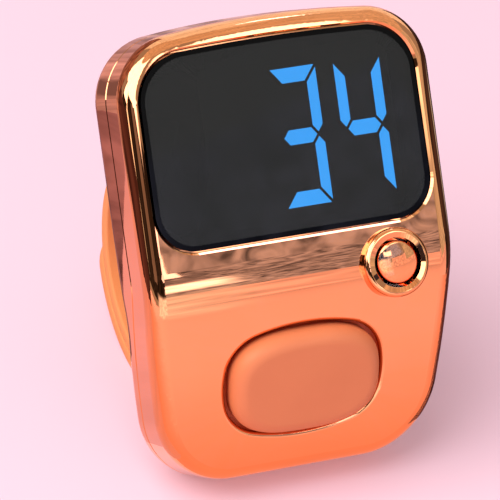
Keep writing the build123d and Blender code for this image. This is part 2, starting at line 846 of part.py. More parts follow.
with BuildPart() as count_key:
    with BuildSketch(slope.offset(-carrier_back_depth)):
        with Locations(pad_place):
            add(pad_outline(well_gap + carrier_flange))
    extrude(amount=carrier_thickness)
    with BuildSketch(slope.offset(-carrier_face_depth)):
        with Locations(pad_place):
            add(pad_outline(-carrier_inset))
    extrude(amount=carrier_face_depth - pad_root)
    with BuildSketch(slope.offset(-carrier_back_depth)):
        with Locations(pad_place):
            Circle(carrier_boss_radius)
    extrude(amount=-carrier_boss_length)
count_key.part.label = "count_key"
export_step(count_key.part, "parts/count_key.step")

with BuildPart() as count_switch:
    with BuildSketch(slope.offset(-key_board_front_depth)):
        with Locations(pad_place):
            Rectangle(count_switch_size, count_switch_size)
    extrude(amount=count_switch_height)
    with BuildSketch(slope.offset(-key_board_front_depth + switch_floor)):
        with Locations(pad_place):
            Circle(count_plunger_radius + plunger_gap)
    extrude(amount=count_switch_height, mode=Mode.SUBTRACT)
count_switch.part.label = "count_switch"
export_step(count_switch.part, "parts/count_switch.step")

with BuildPart() as count_plunger:
    with BuildSketch(slope.offset(-count_plunger_depth)):
        with Locations(pad_place):
            Circle(count_plunger_radius)
    extrude(amount=-(count_switch_depth - count_plunger_depth + plunger_grip))
count_plunger.part.label = "count_plunger"
export_step(count_plunger.part, "parts/count_plunger.step")

# Key board on the slope, its screws and the flat ribbon that joins it to the main board.
with BuildPart() as key_board:
    with BuildSketch(slope.offset(-key_board_front_depth)):
        with Locations((0, -key_board_high - key_board_length / 2)):
            RectangleRounded(key_board_width, key_board_length, key_board_corner)
        with Locations(pad_place):
            with GridLocations(key_post_spread, 0, 2, 1):
                Circle(screw_radius + post_gap, mode=Mode.SUBTRACT)
    extrude(amount=-board_thickness)
key_board.part.label = "key_board"
export_step(key_board.part, "parts/key_board.step")

half_spread = key_post_spread / 2
with BuildPart() as key_board_screws:
    key_screw_places = [(-half_spread, -pad_centre_drop), (half_spread, -pad_centre_drop)]
    add(screws(slope.offset(-key_board_back_depth), key_screw_places))
key_board_screws.part.label = "key_board_screws"
export_step(key_board_screws.part, "parts/key_board_screws.step")

ribbon_back = board_back_depth + ribbon_thickness / 2
ribbon_front = key_board_front_depth - ribbon_thickness / 2
ribbon_end_drop = key_board_high + ribbon_tab
slope_start = (
    -bend_drop - key_board_high * cos(bend) + ribbon_front * sin(bend),
    -key_board_high * sin(bend) - ribbon_front * cos(bend),
)
slope_end = (
    -bend_drop - ribbon_end_drop * cos(bend) + ribbon_front * sin(bend),
    -ribbon_end_drop * sin(bend) - ribbon_front * cos(bend),
)
ribbon_points = [
    (-ribbon_start_drop, -ribbon_back),
    (-ribbon_start_drop - ribbon_tab, -ribbon_back),
    slope_start,
    slope_end,
]
with BuildPart() as ribbon_cable:
    with BuildSketch(side.offset(ribbon_x)):
        with BuildLine():
            FilletPolyline(*ribbon_points, radius=ribbon_bend_radius)
        trace(line_width=ribbon_thickness)
    extrude(amount=ribbon_width / 2, both=True)
ribbon_cable.part.label = "ribbon_cable"
export_step(ribbon_cable.part, "parts/ribbon_cable.step")

# Coin cell, with the arched leaf under it and the clip at its rim.
with BuildPart() as coin_cell:
    with BuildSketch(display.offset(-cell_front_depth)):
        with Locations((0, cell_rise)):
            Circle(cell_radius)
    extrude(amount=-cell_thickness)
    cell_ends = coin_cell.faces().filter_by(display)
    chamfer(cell_ends.edges(), cell_bevel)
coin_cell.part.label = "coin_cell"
export_step(coin_cell.part, "parts/coin_cell.step")

leaf_low = -board_back_depth - contact_thickness / 2
leaf_high = -cell_front_depth + contact_thickness / 2
across = Plane(origin=display.origin, x_dir=display.x_dir, z_dir=-display.y_dir)
with BuildPart() as negative_contact:
    with BuildSketch(across.offset(-cell_rise)):
        with BuildLine():
            ThreePointArc((-contact_span / 2, leaf_low), (0, leaf_high), (contact_span / 2, leaf_low))
        trace(line_width=contact_thickness)
    extrude(amount=contact_width / 2, both=True)
negative_contact.part.label = "negative_contact"
export_step(negative_contact.part, "parts/negative_contact.step")

clip_x = -cell_radius - clip_gap - contact_thickness / 2
with BuildPart() as positive_contact:
    with BuildSketch(across.offset(-cell_rise)):
        with BuildLine():
            Polyline(
                (clip_x - clip_length, leaf_low),
                (clip_x, leaf_low),
                (clip_x, leaf_low - clip_reach),
            )
        trace(line_width=contact_thickness)
    extrude(amount=contact_width / 2, both=True)
positive_contact.part.label = "positive_contact"
export_step(positive_contact.part, "parts/positive_contact.step")

# Battery door: a plate in the rear recess, with a ring that holds the cell and one screw.
with BuildPart() as battery_door:
    with BuildSketch(display.offset(-case_depth)):
        with Locations((door_shift, cell_rise)):
            RectangleRounded(door_width, door_height, door_corner_radius)
    extrude(amount=door_thickness)
    with BuildSketch(display.offset(-door_face_depth)):
        with Locations((0, cell_rise)):
            Circle(door_ring_radius)
            Circle(door_ring_radius - door_ring_wall, mode=Mode.SUBTRACT)
    extrude(amount=door_face_depth - cell_back_depth - fit_gap)
    with BuildSketch(display.offset(-case_depth)):
        with Locations((door_screw_reach, cell_rise)):
            Circle(screw_head_radius + post_gap)
    extrude(amount=door_thickness / 2, mode=Mode.SUBTRACT)
    with BuildSketch(display.offset(-case_depth)):
        with Locations((door_screw_reach, cell_rise)):
            Circle(screw_radius + post_gap)
    extrude(amount=door_thickness, mode=Mode.SUBTRACT)
battery_door.part.label = "battery_door"
export_step(battery_door.part, "parts/battery_door.step")

with BuildPart() as battery_door_screw:
    add(screws(display.offset(-case_depth + door_thickness / 2), [(door_screw_reach, cell_rise)]))
battery_door_screw.part.label = "battery_door_screw"
export_step(battery_door_screw.part, "parts/battery_door_screw.step")


def tip_corners(strap, angle, radius):
    """The two corner edges of a strap half's free end."""
    tip = loop_plane(angle, radius).origin
    end_face = strap.faces().sort_by_distance(tip)[0]
    return end_face.edges().filter_by(lambda edge: edge.length < strap_width / 2)


# Upper half of the band: the inner layer, with an anchor bar in the case and two round pegs.
with BuildPart() as upper_strap:
    with BuildSketch(side):
        add(strap_band(upper_line, 0))
    extrude(amount=strap_width / 2, both=True)
    fillet(tip_corners(upper_strap, -inner_tip_angle, inner_middle_radius), strap_tip_radius)
    with BuildSketch(display.offset(-case_depth + shell_wall)):
        with Locations((0, (upper_line @ 0).X)):
            Rectangle(strap_width, anchor_bar_height)
    extrude(amount=anchor_bar_thickness)
    for peg in range(peg_count):
        angle = peg_angle - peg * peg_step_angle
        with BuildSketch(loop_plane(angle, inner_middle_radius)):
            Circle(peg_radius)
        extrude(amount=loop_radius - inner_middle_radius + strap_layer_gap)
        with BuildSketch(loop_plane(angle, loop_radius + strap_layer_gap)):
            Circle(peg_head_radius)
        extrude(amount=peg_head_height)
upper_strap.part.label = "upper_strap"
export_step(upper_strap.part, "parts/upper_strap.step")

# Lower half of the band: the outer layer, with an anchor bar in the case and a row of holes.
with BuildPart() as lower_strap:
    with BuildSketch(side):
        add(strap_band(lower_line, 0))
    extrude(amount=strap_width / 2, both=True)
    fillet(tip_corners(lower_strap, outer_tip_angle, outer_middle_radius), strap_tip_radius)
    with BuildSketch(slope.offset(-lower_depth + shell_wall)):
        with Locations((0, lower_anchor_place)):
            Rectangle(strap_width, anchor_bar_height)
    extrude(amount=anchor_bar_thickness)
    for hole in range(strap_hole_count):
        with BuildSketch(loop_plane(peg_angle - hole * peg_step_angle, inner_middle_radius)):
            Circle(peg_radius + peg_hole_gap)
        extrude(amount=strap_thickness * 2, mode=Mode.SUBTRACT)
lower_strap.part.label = "lower_strap"
export_step(lower_strap.part, "parts/lower_strap.step")

loop_centre = display.from_local_coords((0, loop_y, loop_z))
print("rest lean in degrees", degrees(lean))
print("display origin", display.origin, "display normal", display.z_dir)
print("slope normal", slope.z_dir)
print("finger loop centre", loop_centre)
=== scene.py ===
import json
from math import acos, atan2, ceil, cos, pi, radians, sin, sqrt

import bmesh
import bpy
from mathutils import Matrix, Quaternion, Vector


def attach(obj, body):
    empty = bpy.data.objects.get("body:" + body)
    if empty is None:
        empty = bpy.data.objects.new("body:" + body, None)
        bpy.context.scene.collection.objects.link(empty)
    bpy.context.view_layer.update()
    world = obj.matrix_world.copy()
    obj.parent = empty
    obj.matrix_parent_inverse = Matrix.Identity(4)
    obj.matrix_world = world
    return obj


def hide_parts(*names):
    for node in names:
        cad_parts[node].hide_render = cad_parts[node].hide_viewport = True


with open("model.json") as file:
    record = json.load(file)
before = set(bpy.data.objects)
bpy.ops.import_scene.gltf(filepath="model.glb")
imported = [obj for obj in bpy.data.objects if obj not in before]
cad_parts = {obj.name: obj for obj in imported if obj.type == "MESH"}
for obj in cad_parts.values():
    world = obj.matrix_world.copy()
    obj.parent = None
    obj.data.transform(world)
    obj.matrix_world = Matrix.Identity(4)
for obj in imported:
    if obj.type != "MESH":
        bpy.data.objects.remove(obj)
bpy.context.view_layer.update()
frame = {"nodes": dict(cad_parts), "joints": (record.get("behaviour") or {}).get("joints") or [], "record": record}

# The case's own axes: the counter stands tilted on its heel and its band. X runs to the right, Y up
# the display and Z out of it, from the middle of the window's lower edge. Lengths are metres.
mm = 0.001
nodes = frame["nodes"]
scene = bpy.context.scene
press = {joint["name"]: Vector(joint["axis"]).normalized() for joint in frame["joints"]}
right = Vector((1, 0, 0))
normal = -press["reset_press"]
upward = normal.cross(right)
window_recess = 0.15 * mm


def extent(node, axis):
    """Least and greatest place of a CAD node along an axis."""
    places = [vertex.co.dot(axis) for vertex in nodes[node].data.vertices]
    return min(places), max(places)


front_level = extent("display_window", normal)[1] + window_recess
window_base = extent("display_window", upward)[0]
origin = upward * window_base + normal * front_level

# Camera: a long lens left of the display and a little above its normal, as in the photograph. The
# middle of the window's lower edge falls on its photographed pixel.
photo_width = 500
pixels_per_mm = 12.0
origin_pixel = (300.0, 234.7)
sensor_mm = 36.0
lens_mm = 360.0
near_share = 0.01
camera_azimuth = radians(-21.04)
camera_elevation = radians(3.77)
camera_roll = radians(-7.89)
outward = right * sin(camera_azimuth) + normal * cos(camera_azimuth)
outward = outward * cos(camera_elevation) + upward * sin(camera_elevation)
camera_right = upward.cross(outward).normalized()
camera_axes = Matrix((camera_right, outward.cross(camera_right), outward)).transposed()
camera_turn = camera_axes.to_quaternion() @ Quaternion((0, 0, 1), camera_roll)
camera_distance = lens_mm / sensor_mm * photo_width / pixels_per_mm * mm
shift_right = (photo_width / 2 - origin_pixel[0]) / pixels_per_mm * mm
shift_up = (origin_pixel[1] - photo_width / 2) / pixels_per_mm * mm
camera_data = bpy.data.cameras.new("camera")
camera_data.lens = lens_mm
camera_data.sensor_width = sensor_mm
camera_data.clip_start = camera_distance * near_share
camera = bpy.data.objects.new("camera", camera_data)
camera_place = origin + camera_turn @ Vector((shift_right, shift_up, camera_distance))
camera.matrix_world = Matrix.LocRotScale(camera_place, camera_turn, None)
scene.collection.objects.link(camera)
scene.camera = camera
scene.view_settings.view_transform = "Standard"

# Front and rear shell, battery door and reset cap: injection moulded plastic, plated to an orange
# mirror and lacquered. The moulding leaves the plating faintly wavy, and handling dulls it in spots.
FLOAT = "NodeSocketFloat"
COLOUR = "NodeSocketColor"


def new_group(kind, name, inputs, outputs):
    """An empty node group of a kind with the named sockets, and its two end nodes."""
    group = bpy.data.node_groups.new(name, kind)
    for title, socket_type, value in inputs:
        socket = group.interface.new_socket(title, in_out="INPUT", socket_type=socket_type)
        if value is not None:
            socket.default_value = value
    for title, socket_type in outputs:
        group.interface.new_socket(title, in_out="OUTPUT", socket_type=socket_type)
    return group, group.nodes.new("NodeGroupInput"), group.nodes.new("NodeGroupOutput")


def add_node(tree, kind, settings=None, **inputs):
    """A node whose inputs, named or numbered as i0, i1, are linked to a socket or set to a value."""
    node = tree.nodes.new(kind)
    for key, value in (settings or {}).items():
        setattr(node, key, value)
    for key, value in inputs.items():
        numbered = key[0] == "i" and key[1:].isdigit()
        socket = node.inputs[int(key[1:])] if numbered else node.inputs[key.replace("_", " ")]
        if isinstance(value, bpy.types.NodeSocket):
            tree.links.new(value, socket)
        else:
            socket.default_value = value
    return node


# Mottle: patches of two scales over the surface, as a colour, a roughness and two heights.
mottle, mottle_in, mottle_out = new_group(
    "ShaderNodeTree", "mottle",
    [("Light", COLOUR, (1, 1, 1, 1)), ("Dark", COLOUR, (0, 0, 0, 1)), ("Patch Scale", FLOAT, 200.0),
     ("Grain Scale", FLOAT, 4000.0), ("Smooth", FLOAT, 0.2), ("Rough", FLOAT, 0.4)],
    [("Colour", COLOUR), ("Roughness", FLOAT), ("Patches", FLOAT), ("Grain", FLOAT)],
)
patch_spread = (0.3, 0.7)
mottle_place = add_node(mottle, "ShaderNodeTexCoord").outputs["Object"]
patches = add_node(mottle, "ShaderNodeTexNoise", Vector=mottle_place, Scale=mottle_in.outputs["Patch Scale"],
                   Detail=3.0, Roughness=0.5).outputs["Fac"]
grains = add_node(mottle, "ShaderNodeTexNoise", Vector=mottle_place, Scale=mottle_in.outputs["Grain Scale"],
                  Detail=2.0, Roughness=0.6).outputs["Fac"]
mixed = add_node(mottle, "ShaderNodeMix", {"data_type": "RGBA"}, Factor=patches,
                 i6=mottle_in.outputs["Light"], i7=mottle_in.outputs["Dark"]).outputs[2]
dulled = add_node(mottle, "ShaderNodeMapRange", Value=patches, From_Min=patch_spread[0],
                  From_Max=patch_spread[1], To_Min=mottle_in.outputs["Smooth"],
                  To_Max=mottle_in.outputs["Rough"]).outputs["Result"]
for title, socket in (("Colour", mixed), ("Roughness", dulled), ("Patches", patches), ("Grain", grains)):
    mottle.links.new(socket, mottle_out.inputs[title])


def finish(name, light, dark, smooth, rough, patch, grain, height, metallic=0.0, waves=0.0):
    """A material with mottled colour and roughness, and a bump from its grain or its waves."""
    material = bpy.data.materials.new(name)
    material.use_nodes = True
    tree = material.node_tree
    shader = tree.nodes["Principled BSDF"]
    spots = add_node(tree, "ShaderNodeGroup", {"node_tree": mottle})
    for title, value in (("Light", (*light, 1)), ("Dark", (*dark, 1)), ("Smooth", smooth),
                         ("Rough", rough), ("Patch Scale", 1 / patch), ("Grain Scale", 1 / grain)):
        spots.inputs[title].default_value = value
    bump = add_node(tree, "ShaderNodeBump", Distance=waves or height, Strength=1.0,
                    Height=spots.outputs["Patches" if waves else "Grain"])
    for title, socket in (("Base Color", spots.outputs["Colour"]), ("Normal", bump.outputs["Normal"]),
                          ("Roughness", spots.outputs["Roughness"])):
        tree.links.new(socket, shader.inputs[title])
    shader.inputs["Metallic"].default_value = metallic
    return material, shader


def paint(material, *names):
    """Gives CAD nodes their finish."""
    for name in names:
        for slot in nodes[name].material_slots:
            slot.material = material


# Dish: heights of a round face. A cone that rises outwards and a lean, in metres.
VECTOR = "NodeSocketVector"
dish, dish_in, dish_out = new_group(
    "ShaderNodeTree", "dish",
    [("Middle", VECTOR, None), ("Axis", VECTOR, None), ("Up", VECTOR, None), ("Inner", FLOAT, 0.0),
     ("Outer", FLOAT, 0.0), ("Cone", FLOAT, 0.0), ("Lean", FLOAT, 0.0)],
    [("Height", FLOAT)],
)


def calc(tree, operation, first, second=0.0):
    """A sum of two values in a node tree."""
    return add_node(tree, "ShaderNodeMath", {"operation": operation}, i0=first, i1=second).outputs[0]


def vector_calc(tree, operation, first, second, result="Vector"):
    """A sum of two vectors in a node tree."""
    node = add_node(tree, "ShaderNodeVectorMath", {"operation": operation}, i0=first, i1=second)
    return node.outputs[result]


dish_place = add_node(dish, "ShaderNodeTexCoord").outputs["Object"]
from_middle = vector_calc(dish, "SUBTRACT", dish_place, dish_in.outputs["Middle"])
along_axis = vector_calc(dish, "PROJECT", from_middle, dish_in.outputs["Axis"])
from_axis = vector_calc(dish, "SUBTRACT", from_middle, along_axis)
dish_radius = vector_calc(dish, "LENGTH", from_axis, (0, 0, 0), "Value")
cone_radius = calc(dish, "MAXIMUM", dish_radius, dish_in.outputs["Inner"])
cone_radius = calc(dish, "MINIMUM", cone_radius, dish_in.outputs["Outer"])
cone_rise = calc(dish, "MULTIPLY", cone_radius, dish_in.outputs["Cone"])
up_the_face = vector_calc(dish, "DOT_PRODUCT", from_middle, dish_in.outputs["Up"], "Value")
lean_rise = calc(dish, "MULTIPLY", up_the_face, dish_in.outputs["Lean"])
dish.links.new(calc(dish, "ADD", cone_rise, lean_rise), dish_out.inputs["Height"])

cap_across = sum(extent("reset_button", right)) / 2
cap_height = sum(extent("reset_button", upward)) / 2
cap_middle = right * cap_across + upward * cap_height
cap_lean = 0.28
collar_inner = 2.12 * mm
collar_outer = 2.56 * mm
collar_slope = 0.4


def plating(name, **shape):
    """The plated finish, on a face that a dish may shape."""
    material, shader = finish(
        name, light=(1.0, 0.42, 0.16), dark=(0.98, 0.39, 0.14), smooth=0.012, rough=0.03,
        patch=6 * mm, grain=0.3 * mm, height=0.0, metallic=1.0, waves=0.004 * mm,
    )
    shader.inputs["Coat Weight"].default_value = 0.5
    shader.inputs["Coat Roughness"].default_value = 0.02
    if shape:
        tree = material.node_tree
        face = add_node(tree, "ShaderNodeGroup", {"node_tree": dish}, Middle=cap_middle, Axis=normal,
                        Up=upward, **shape)
        bump = add_node(tree, "ShaderNodeBump", Distance=1.0, Strength=1.0, Height=face.outputs["Height"],
                        Normal=shader.inputs["Normal"].links[0].from_socket)
        tree.links.new(bump.outputs["Normal"], shader.inputs["Normal"])
    return material


paint(plating("plated_orange"), "rear_shell", "battery_door")
paint(plating("plated_front", Inner=collar_inner, Outer=collar_outer, Cone=collar_slope), "front_shell")
plated_cap = plating("plated_cap", Lean=cap_lean)
paint(plated_cap, "reset_button")

# Window: a flat lens of smoked acrylic, set in its pocket on a black adhesive frame. Its colour turns black in a
# thin band along its edge.
smoked, smoked_shader = finish(
    "smoked_acrylic", light=(0.155, 0.165, 0.16), dark=(0.135, 0.145, 0.14), smooth=0.03, rough=0.07,
    patch=9 * mm, grain=0.2 * mm, height=0.00005 * mm,
)
smoked_shader.inputs["Transmission Weight"].default_value = 0.87
smoked_shader.inputs["IOR"].default_value = 1.3
window_half = extent("display_window", right)[1]
window_height = extent("display_window", upward)[1] - window_base
window_rise = 0.48 * mm
window_corners = (3.4 * mm, 4.25 * mm)
border_width = 0.42 * mm
border_blur = 0.06 * mm
lens = smoked.node_tree
lens_place = add_node(lens, "ShaderNodeTexCoord").outputs["Object"]
lens_across = calc(lens, "ABSOLUTE", vector_calc(lens, "DOT_PRODUCT", lens_place, right, "Value"))
lens_height = vector_calc(lens, "DOT_PRODUCT", lens_place, upward, "Value")
lens_height = calc(lens, "SUBTRACT", lens_height, window_base)
arch = calc(lens, "POWER", calc(lens, "DIVIDE", lens_across, window_half), 2.0)
arch = calc(lens, "MULTIPLY", arch, calc(lens, "MULTIPLY", lens_height, window_rise / window_height))
lens_level = calc(lens, "ADD", lens_height, arch)
lens_corner = add_node(lens, "ShaderNodeMapRange", Value=lens_level, From_Max=window_height,
                       To_Min=window_corners[0], To_Max=window_corners[1]).outputs["Result"]
past_side = calc(lens, "SUBTRACT", calc(lens, "ADD", lens_across, lens_corner), window_half)
past_end = calc(lens, "ABSOLUTE", calc(lens, "SUBTRACT", lens_level, window_height / 2))
past_end = calc(lens, "SUBTRACT", calc(lens, "ADD", past_end, lens_corner), window_height / 2)
outside = add_node(lens, "ShaderNodeCombineXYZ", X=calc(lens, "MAXIMUM", past_side),
                   Y=calc(lens, "MAXIMUM", past_end), Z=0.0).outputs["Vector"]
inside = calc(lens, "MINIMUM", calc(lens, "MAXIMUM", past_side, past_end))
from_corner = calc(lens, "ADD", vector_calc(lens, "LENGTH", outside, (0, 0, 0), "Value"), inside)
from_edge = calc(lens, "SUBTRACT", lens_corner, from_corner)
edge_band = add_node(lens, "ShaderNodeMapRange", Value=from_edge, From_Min=border_width + border_blur,
                   From_Max=border_width).outputs["Result"]
bare_lens = smoked_shader.inputs["Base Color"].links[0].from_socket
bordered = add_node(lens, "ShaderNodeMix", {"data_type": "RGBA"}, Factor=edge_band, i6=bare_lens,
                    i7=(0, 0, 0, 1))
lens.links.new(bordered.outputs[2], smoked_shader.inputs["Base Color"])
paint(smoked, "display_window")

# Display module: a black housing with a pocket for each resin bar, behind the lens and its adhesive
# frame. Lit bars glow blue, and the unlit ones vanish behind the smoked lens.
lit, lit_shader = finish(
    "lit_bars", light=(0.02, 0.30, 0.95), dark=(0.02, 0.26, 0.9), smooth=0.4, rough=0.5,
    patch=2 * mm, grain=0.1 * mm, height=0.001 * mm,
)
lit_shader.inputs["Emission Color"].default_value = (0.035, 0.37, 1.0, 1)
lit_shader.inputs["Emission Strength"].default_value = 8.0
paint(lit, "lit_segments")
black_plastic, _ = finish(
    "black_housing", light=(0.006, 0.006, 0.007), dark=(0.004, 0.004, 0.005), smooth=0.5, rough=0.7,
    patch=3 * mm, grain=0.1 * mm, height=0.002 * mm,
)
paint(black_plastic, "led_module", "window_tape", "unlit_segments")

# Boards and switches: green glass fibre boards with a drop of black resin over the chip, black
# switch bodies with pale plungers, and a flat grey ribbon between the two boards.
green_board, _ = finish(
    "green_board", light=(0.02, 0.17, 0.075), dark=(0.012, 0.11, 0.045), smooth=0.35, rough=0.5,
    patch=2.5 * mm, grain=0.15 * mm, height=0.004 * mm,
)
paint(green_board, "main_board", "key_board")
black_resin, _ = finish(
    "black_resin", light=(0.018, 0.018, 0.018), dark=(0.01, 0.01, 0.011), smooth=0.25, rough=0.4,
    patch=1.5 * mm, grain=0.1 * mm, height=0.004 * mm,
)
paint(black_resin, "controller_chip", "chip_resistors", "reset_switch", "count_switch")
pale_plastic, _ = finish(
    "pale_plunger", light=(0.76, 0.73, 0.66), dark=(0.7, 0.67, 0.6), smooth=0.4, rough=0.55,
    patch=1.5 * mm, grain=0.1 * mm, height=0.003 * mm,
)
paint(pale_plastic, "reset_plunger", "count_plunger")
ribbon_grey, _ = finish(
    "ribbon_grey", light=(0.76, 0.75, 0.71), dark=(0.68, 0.67, 0.63), smooth=0.45, rough=0.6,
    patch=1 * mm, grain=0.08 * mm, height=0.004 * mm,
)
paint(ribbon_grey, "ribbon_cable")

# Coin cell, contacts and screws: a stainless can between a nickel leaf and a clip. The screws of the
# boards and the door and the pins of the display are bright steel too.
steel, _ = finish(
    "bright_steel", light=(0.66, 0.65, 0.62), dark=(0.56, 0.55, 0.53), smooth=0.22, rough=0.36,
    patch=2 * mm, grain=0.1 * mm, height=0.002 * mm, metallic=1.0,
)
paint(steel, "coin_cell", "led_pins", "board_screws", "key_board_screws", "battery_door_screw")
nickel, _ = finish(
    "nickel_strip", light=(0.76, 0.68, 0.5), dark=(0.66, 0.58, 0.42), smooth=0.2, rough=0.34,
    patch=1.5 * mm, grain=0.08 * mm, height=0.002 * mm, metallic=1.0,
)
paint(nickel, "negative_contact", "positive_contact")

# Count pad: soft orange silicone, moulded with a wide round edge and a faint crown, on a rigid
# carrier whose flange is held under the well's rim. Pad and carrier travel together.
slope_normal = -press["count_press"]
slope_up = slope_normal.cross(right)
pad_edge_radius = 1.3 * mm
pad_crown = 0.1 * mm
pad_squareness = 2.8
pad_segments = 192
edge_steps = 14
face_steps = 10


def skin(rings):
    """A closed surface through rings of points. A ring of one point is a pole."""
    shape = bmesh.new()
    loops = [[shape.verts.new(point) for point in ring] for ring in rings]
    for low, high in zip(loops, loops[1:]):
        count = max(len(low), len(high))
        for step in range(count):
            after = step + 1
            corners = [low[step % len(low)], low[after % len(low)],
                       high[after % len(high)], high[step % len(high)]]
            shape.faces.new(list(dict.fromkeys(corners)))
    bmesh.ops.recalc_face_normals(shape, faces=shape.faces)
    return shape


def new_piece(name, shape, material):
    """An object at the origin with a smooth mesh, from a bmesh in the shared frame."""
    mesh = bpy.data.meshes.new(name)
    shape.to_mesh(mesh)
    shape.free()
    mesh.shade_smooth()
    mesh.materials.append(material)
    piece = bpy.data.objects.new(name, mesh)
    scene.collection.objects.link(piece)
    return piece


def stand_for(piece, node, body):
    """Shows a piece in place of a CAD node, on the node's body."""
    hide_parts(node)
    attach(piece, body)


pad_half_width = extent("count_pad", right)[1]
pad_low, pad_high = extent("count_pad", slope_up)
pad_root, pad_top = extent("count_pad", slope_normal)
pad_middle = slope_up * ((pad_low + pad_high) / 2)


def pad_ring(inset, level, share=1.0):
    """The pad's outline, a bowed rectangle, drawn in by `inset` and shrunk to a share of its size."""
    half_x = (pad_half_width - inset) * share
    half_y = ((pad_high - pad_low) / 2 - inset) * share
    ring = []
    for step in range(pad_segments):
        turn = 2 * pi * step / pad_segments
        bow = (abs(cos(turn)) ** pad_squareness + abs(sin(turn)) ** pad_squareness) ** (-1 / pad_squareness)
        across = right * (half_x * bow * cos(turn))
        along = slope_up * (half_y * bow * sin(turn))
        ring.append(pad_middle + across + along + slope_normal * level)
    return ring


pad_rings = [[pad_middle + slope_normal * pad_root], pad_ring(0, pad_root)]
for step in range(edge_steps + 1):
    turn = pi / 2 * step / edge_steps
    inset = pad_edge_radius * (1 - cos(turn))
    pad_rings.append(pad_ring(inset, pad_top - pad_edge_radius * (1 - sin(turn))))
for step in range(1, face_steps):
    share = 1 - step / face_steps
    pad_rings.append(pad_ring(pad_edge_radius, pad_top + pad_crown * (1 - share**2) ** 2, share))
pad_rings.append([pad_middle + slope_normal * (pad_top + pad_crown)])
soft_orange, _ = finish(
    "pad_silicone", light=(0.74, 0.21, 0.08), dark=(0.69, 0.185, 0.068), smooth=0.42, rough=0.55,
    patch=4 * mm, grain=0.1 * mm, height=0.003 * mm,
)
pad = new_piece("soft_count_pad", skin(pad_rings), soft_orange)
stand_for(pad, "count_pad", "count_key")
carrier_plastic, _ = finish(
    "carrier_plastic", light=(0.8, 0.13, 0.035), dark=(0.72, 0.11, 0.03), smooth=0.4, rough=0.55,
    patch=3 * mm, grain=0.12 * mm, height=0.003 * mm,
)
paint(carrier_plastic, "count_key")

# Reset cap: its plated face is crowned. The crown is part of a ball that runs on from the round edge
# of the cap, and travels with it.
cap_radius = 1.86 * mm
cap_edge_radius = 0.35 * mm
crown_turn = radians(14.5)
crown_segments = 96
crown_steps = 12
crown_base_radius = cap_radius - cap_edge_radius * (1 - sin(crown_turn))
crown_base = extent("reset_button", normal)[1] - cap_edge_radius * (1 - cos(crown_turn))
ball_radius = crown_base_radius / sin(crown_turn)
crown_rings = [[cap_middle + normal * crown_base]]
for step in range(crown_steps):
    turn = crown_turn * (1 - step / crown_steps)
    level = crown_base + ball_radius * (cos(turn) - cos(crown_turn))
    ring = []
    for segment in range(crown_segments):
        sweep = 2 * pi * segment / crown_segments
        outwards = right * cos(sweep) + upward * sin(sweep)
        ring.append(cap_middle + outwards * (ball_radius * sin(turn)) + normal * level)
    crown_rings.append(ring)
crown_rings.append([cap_middle + normal * (crown_base + ball_radius * (1 - cos(crown_turn)))])
cap_crown = new_piece("reset_cap_crown", skin(crown_rings), plated_cap)
cap_crown.data.set_sharp_from_angle(angle=2 * crown_turn)
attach(cap_crown, "reset_button")

# Silicone band: two moulded straps, each anchored by a bar inside the rear shell. They wrap round the
# finger in two layers, and the pegs of the inner strap button into the holes of the outer one.
band_mount = frame["record"]["mounts"][0]
loop_centre = Vector(band_mount["pos_m"])
finger_radius = band_mount["dims"]["r_mm"] * mm
band_width = extent("upper_strap", right)[1] * 2
band_thickness = 1.2 * mm
layer_gap = 0.05 * mm
band_edge_radius = 0.25 * mm
band_edge_steps = 3
merge_share = 0.01
tip_radius = 3.5 * mm
wrap_step = 0.5 * mm
shell_wall = 1.1 * mm
case_depth = 8.0 * mm
upper_anchor = (13.2 * mm, -case_depth)
lower_anchor = (-13.5 * mm, -11.415 * mm)
inner_tip_turn = radians(-165)
outer_tip_turn = radians(-70)
anchor_bar = (3.2 * mm, 0.7 * mm)
anchor_edge_radius = anchor_bar[1] / 4
peg_radius = 0.9 * mm
peg_head_radius = 1.4 * mm
peg_head_height = 0.6 * mm
peg_head_edge = 0.2 * mm
peg_hole_gap = 0.08 * mm
first_peg_turn = radians(-84)
peg_turn_step = radians(-20)
peg_count = 2
hole_count = 5
turned_segments = 48
GEOMETRY = "NodeSocketGeometry"
MATERIAL = "NodeSocketMaterial"

inner_radius = finger_radius + band_thickness / 2
outer_radius = inner_radius + band_thickness + layer_gap
loop_y = (loop_centre - origin).dot(upward)
loop_z = (loop_centre - origin).dot(normal)
loop_axes = Matrix.Translation(loop_centre) @ Matrix((right, upward, normal)).transposed().to_4x4()


def end_tree(tree, start, end, geometry):
    """Ends a geometry tree: copies made real, and the finish from the tree's own input."""
    real = add_node(tree, "GeometryNodeRealizeInstances", Geometry=geometry)
    dressed = add_node(tree, "GeometryNodeSetMaterial", Geometry=real.outputs[0],
                       Material=start.outputs["Material"])
    tree.links.new(dressed.outputs[0], end.inputs["Geometry"])


def run_tree(piece, tree, values):
    """Runs a geometry tree on an object and leaves the result as the object's plain mesh."""
    modifier = piece.modifiers.new(tree.name, "NODES")
    modifier.node_group = tree
    for item in tree.interface.items_tree:
        if item.in_out == "INPUT" and item.name in values:
            modifier[item.identifier] = values[item.name]
    seen = piece.evaluated_get(bpy.context.evaluated_depsgraph_get())
    mesh = bpy.data.meshes.new_from_object(seen)
    piece.modifiers.clear()
    piece.data = mesh


